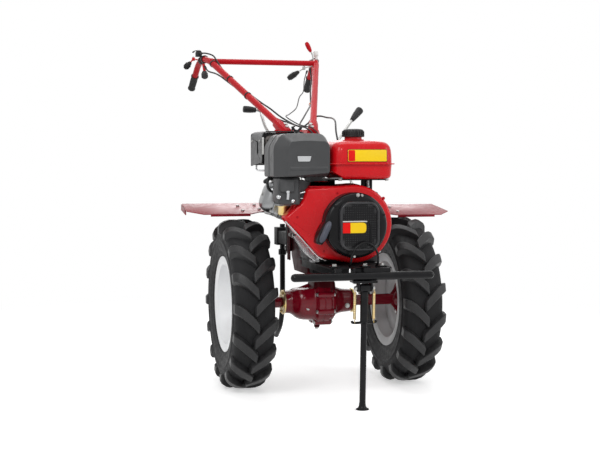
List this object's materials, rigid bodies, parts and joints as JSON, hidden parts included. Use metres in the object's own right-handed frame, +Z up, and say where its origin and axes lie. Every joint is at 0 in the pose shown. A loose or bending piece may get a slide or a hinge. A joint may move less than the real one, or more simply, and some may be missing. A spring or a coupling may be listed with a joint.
{
  "type": "walking tractor",
  "caption": "Walking tractor with lugged wheels, an exposed engine, mudguards, a folding front stand and a long handlebar whose height adjusts.",
  "frame": {"origin": "on the ground under the middle of the whole machine's box", "axes": "+Z up, -Y towards the front, where the engine's fan cover is, +X towards the machine's left side"},
  "size_m": [1.04, 1.845, 1.4048],
  "materials": {
    "red_paint": "gloss",
    "crimson_paint": "gloss",
    "black_paint": "gloss",
    "dark_plastic": "satin",
    "black_rubber": "matte",
    "tyre_rubber": "matte",
    "white_paint": "satin",
    "zinc_plate": "satin",
    "bright_steel": "satin",
    "cast_alloy": "satin"
  },
  "bodies": {
    "root": {"differential_housing": "crimson_paint", "bearing_flange_left": "zinc_plate", "bearing_flange_right": "zinc_plate", "gearbox_housing": "crimson_paint", "clutch_housing": "black_paint", "engine_frame": "black_paint", "front_bumper": "black_paint", "stand_bracket": "black_paint", "fender_left": "red_paint", "fender_right": "red_paint", "fender_support_left": "black_paint", "fender_support_right": "black_paint", "handlebar_column": "black_paint", "shift_lever": "bright_steel", "selector_lever": "bright_steel", "rear_hitch": "black_paint", "depth_stake": "black_paint", "engine_block": "cast_alloy", "cylinder_head": "cast_alloy", "rocker_cover": "bright_steel", "fan_shroud": "red_paint", "recoil_cover": "black_paint", "starter_handle": "dark_plastic", "fuel_tank": "red_paint", "fuel_cap": "dark_plastic", "tank_bracket": "black_paint", "air_cleaner_cover": "dark_plastic", "intake_housing": "dark_plastic", "carburettor": "zinc_plate", "muffler": "bright_steel", "muffler_guard": "black_paint", "breather_hose": "black_rubber"},
    "handlebar": {"handlebar_yoke": "red_paint", "handlebar_arm_left": "red_paint", "handlebar_arm_right": "red_paint", "handlebar_crossbar": "red_paint", "grip_left": "black_rubber", "grip_right": "black_rubber", "outer_lever_right": "black_rubber", "inner_lever_right": "black_rubber", "inner_lever_left": "black_rubber", "stop_lever": "red_paint", "throttle_block": "dark_plastic", "steering_cable_right": "black_rubber", "steering_cable_left": "black_rubber", "clutch_cable": "black_rubber", "throttle_cable": "black_rubber"},
    "wheel_left": {"tyre_left": "tyre_rubber", "rim_left": "white_paint", "axle_hub_left": "crimson_paint"},
    "wheel_right": {"tyre_right": "tyre_rubber", "rim_right": "white_paint", "axle_hub_right": "crimson_paint"},
    "stand": {"front_stand": "black_paint", "stand_spring_left": "zinc_plate", "stand_spring_right": "zinc_plate"}
  },
  "joints": [
    {"name": "wheel_left_spin", "type": "hinge", "parent": "root", "child": "wheel_left", "pos_m": [0.319, -0.3765, 0.32], "axis": [1, 0, 0], "continuous": true},
    {"name": "wheel_right_spin", "type": "hinge", "parent": "root", "child": "wheel_right", "pos_m": [-0.319, -0.3765, 0.32], "axis": [1, 0, 0], "continuous": true},
    {"name": "handlebar_height", "type": "hinge", "parent": "root", "child": "handlebar", "pos_m": [0, -0.1265, 0.905], "axis": [1, 0, 0], "range_deg": [-6, 15], "deforming": ["steering_cable_right", "steering_cable_left", "clutch_cable", "throttle_cable"]},
    {"name": "stand_fold", "type": "hinge", "parent": "root", "child": "stand", "pos_m": [0.006, -0.9025, 0.425], "axis": [-1, 0, 0], "range_deg": [0, 88]}
  ]
}
